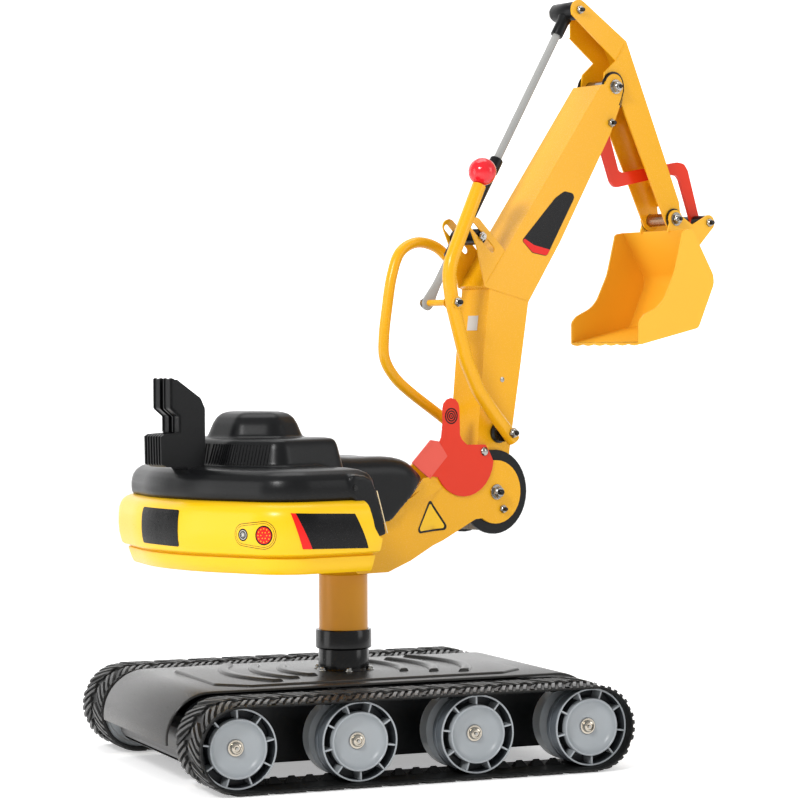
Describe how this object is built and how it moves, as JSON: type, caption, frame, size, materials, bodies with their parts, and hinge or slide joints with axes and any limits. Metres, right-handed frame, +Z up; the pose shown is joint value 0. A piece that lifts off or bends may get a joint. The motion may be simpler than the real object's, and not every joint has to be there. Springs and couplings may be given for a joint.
{
  "type": "ride on digger",
  "caption": "Child's ride-on toy digger: turning seat deck on a column over a tracked base, with a hand-worked boom, stick and bucket.",
  "frame": {"origin": "on the floor, in the middle of the whole digger's length and width", "axes": "+X forward along the tracks, +Y to the rider's left, +Z up; the deck and boom are stored turned 15.8 degrees to the left about the column at x = -0.149"},
  "size_m": [0.787, 0.43, 0.8685],
  "materials": {
    "yellow_paint": "yellow powder coat, semi gloss",
    "yellow_plastic": "yellow moulded plastic, satin",
    "bucket_plastic": "orange-yellow moulded plastic",
    "black_plastic": "black moulded plastic, satin",
    "black_rubber": "black moulded rubber",
    "black_enamel": "black enamel, gloss",
    "grey_plastic": "grey moulded plastic",
    "red_paint": "red powder coat",
    "red_plastic": "red ball, gloss",
    "zinc_steel": "bright zinc plated steel",
    "brushed_steel": "plain steel",
    "grey_rod": "light grey painted tube"
  },
  "bodies": {
    "undercarriage": {"track_belt_right": "black_rubber", "track_belt_left": "black_rubber", "chassis_cover": "black_enamel", "chassis_frame": "black_plastic", "axle_1": "zinc_steel", "axle_2": "zinc_steel", "axle_3": "zinc_steel", "axle_4": "zinc_steel", "post": "zinc_steel", "collar_sleeve": "black_plastic", "collar_ring": "black_plastic"},
    "wheel_right_1": {"wheel_right_1": "grey_plastic"},
    "wheel_right_2": {"wheel_right_2": "grey_plastic"},
    "wheel_right_3": {"wheel_right_3": "grey_plastic"},
    "wheel_right_4": {"wheel_right_4": "grey_plastic"},
    "wheel_left_1": {"wheel_left_1": "grey_plastic"},
    "wheel_left_2": {"wheel_left_2": "grey_plastic"},
    "wheel_left_3": {"wheel_left_3": "grey_plastic"},
    "wheel_left_4": {"wheel_left_4": "grey_plastic"},
    "upper_deck": {"column_tube": "yellow_paint", "turret_shell": "yellow_plastic", "seat_shell": "black_plastic", "rear_bracket": "black_plastic", "boom_fork": "yellow_paint", "guard": "red_paint", "guard_bolt": "zinc_steel", "pivot_disc_right": "black_plastic", "pivot_disc_left": "black_plastic", "pivot_bolt": "zinc_steel", "stop_bolt_right": "zinc_steel", "stop_bolt_left": "zinc_steel", "pivot_bush": "brushed_steel", "stop_buffer": "grey_plastic"},
    "boom": {"boom": "yellow_paint", "elbow_bolt": "zinc_steel", "link_bolt": "zinc_steel", "elbow_spacer_right": "black_plastic", "elbow_spacer_left": "black_plastic", "loop_handle": "yellow_paint"},
    "lever": {"lever": "yellow_paint", "lever_knob": "red_plastic", "lever_spacer": "black_plastic", "lever_bolt": "zinc_steel", "rod_pin": "yellow_paint"},
    "push_rod": {"rod": "grey_rod", "t_bush": "black_plastic"},
    "rod_guide": {"rod_guide": "black_plastic", "guide_bolt": "zinc_steel"},
    "stick": {"stick": "yellow_paint", "elbow_bush": "brushed_steel", "bucket_bush": "brushed_steel", "stick_top_bolt": "zinc_steel"},
    "bucket": {"bucket": "bucket_plastic", "bucket_bolt": "zinc_steel", "bucket_rear_bolt": "zinc_steel", "bucket_spacer_right": "black_plastic", "bucket_spacer_left": "black_plastic", "link_bush_right": "black_plastic", "link_bush_left": "black_plastic"},
    "bucket_link": {"z_link": "red_paint"}
  },
  "joints": [
    {"name": "deck_swivel", "type": "hinge", "parent": "undercarriage", "child": "upper_deck", "pos_m": [-0.14884, 0, 0], "axis": [0, 0, 1], "continuous": true},
    {"name": "boom_lift", "type": "hinge", "parent": "upper_deck", "child": "boom", "pos_m": [0.04072, 0.05364, 0.291], "axis": [-0.2723, 0.9622, 0], "range_deg": [-8, 75]},
    {"name": "lever_swing", "type": "hinge", "parent": "boom", "child": "lever", "pos_m": [0.04841, 0.05582, 0.359], "axis": [-0.2723, 0.9622, 0], "range_deg": [-26, 6]},
    {"name": "rod_swing", "type": "hinge", "parent": "lever", "child": "push_rod", "pos_m": [-0.03049, 0.03349, 0.508], "axis": [-0.2723, 0.9622, 0], "range_deg": [-6.5, 27.8]},
    {"name": "guide_slide", "type": "slide", "parent": "push_rod", "child": "rod_guide", "axis": [0.5074, 0.1436, 0.8496], "range_m": [-0.0179, 0.077]},
    {"name": "stick_swing", "type": "hinge", "parent": "boom", "child": "stick", "pos_m": [0.22835, 0.10673, 0.768], "axis": [-0.2723, 0.9622, 0], "range_deg": [-41.7, 9.7]},
    {"name": "bucket_tilt", "type": "hinge", "parent": "stick", "child": "bucket", "pos_m": [0.32361, 0.13369, 0.613], "axis": [-0.2723, 0.9622, 0], "range_deg": [-41.1, 9.6]},
    {"name": "link_swing", "type": "hinge", "parent": "bucket", "child": "bucket_link", "pos_m": [0.37749, 0.14894, 0.61], "axis": [-0.2723, 0.9622, 0], "range_deg": [-7.5, 32.1]},
    {"name": "wheel_right_1_spin", "type": "hinge", "parent": "undercarriage", "child": "wheel_right_1", "pos_m": [-0.34284, -0.17, 0.0475], "axis": [0, 1, 0], "continuous": true},
    {"name": "wheel_right_2_spin", "type": "hinge", "parent": "undercarriage", "child": "wheel_right_2", "pos_m": [-0.20934, -0.17, 0.0475], "axis": [0, 1, 0], "continuous": true},
    {"name": "wheel_right_3_spin", "type": "hinge", "parent": "undercarriage", "child": "wheel_right_3", "pos_m": [-0.07574, -0.17, 0.0475], "axis": [0, 1, 0], "continuous": true},
    {"name": "wheel_right_4_spin", "type": "hinge", "parent": "undercarriage", "child": "wheel_right_4", "pos_m": [0.05776, -0.17, 0.0475], "axis": [0, 1, 0], "continuous": true},
    {"name": "wheel_left_1_spin", "type": "hinge", "parent": "undercarriage", "child": "wheel_left_1", "pos_m": [-0.34284, 0.17, 0.0475], "axis": [0, 1, 0], "continuous": true},
    {"name": "wheel_left_2_spin", "type": "hinge", "parent": "undercarriage", "child": "wheel_left_2", "pos_m": [-0.20934, 0.17, 0.0475], "axis": [0, 1, 0], "continuous": true},
    {"name": "wheel_left_3_spin", "type": "hinge", "parent": "undercarriage", "child": "wheel_left_3", "pos_m": [-0.07574, 0.17, 0.0475], "axis": [0, 1, 0], "continuous": true},
    {"name": "wheel_left_4_spin", "type": "hinge", "parent": "undercarriage", "child": "wheel_left_4", "pos_m": [0.05776, 0.17, 0.0475], "axis": [0, 1, 0], "continuous": true}
  ],
  "couplings": [
    {"joint": "rod_swing", "follows": "lever_swing", "ratio": -1.0624},
    {"joint": "guide_slide", "follows": "lever_swing", "m_per_rad": -0.16917},
    {"joint": "stick_swing", "follows": "lever_swing", "ratio": 1.5954},
    {"joint": "bucket_tilt", "follows": "lever_swing", "ratio": 1.5747},
    {"joint": "link_swing", "follows": "lever_swing", "ratio": -1.2306},
    {"joint": "wheel_right_2_spin", "follows": "wheel_right_1_spin", "ratio": 1},
    {"joint": "wheel_right_3_spin", "follows": "wheel_right_1_spin", "ratio": 1},
    {"joint": "wheel_right_4_spin", "follows": "wheel_right_1_spin", "ratio": 1},
    {"joint": "wheel_left_2_spin", "follows": "wheel_left_1_spin", "ratio": 1},
    {"joint": "wheel_left_3_spin", "follows": "wheel_left_1_spin", "ratio": 1},
    {"joint": "wheel_left_4_spin", "follows": "wheel_left_1_spin", "ratio": 1}
  ]
}
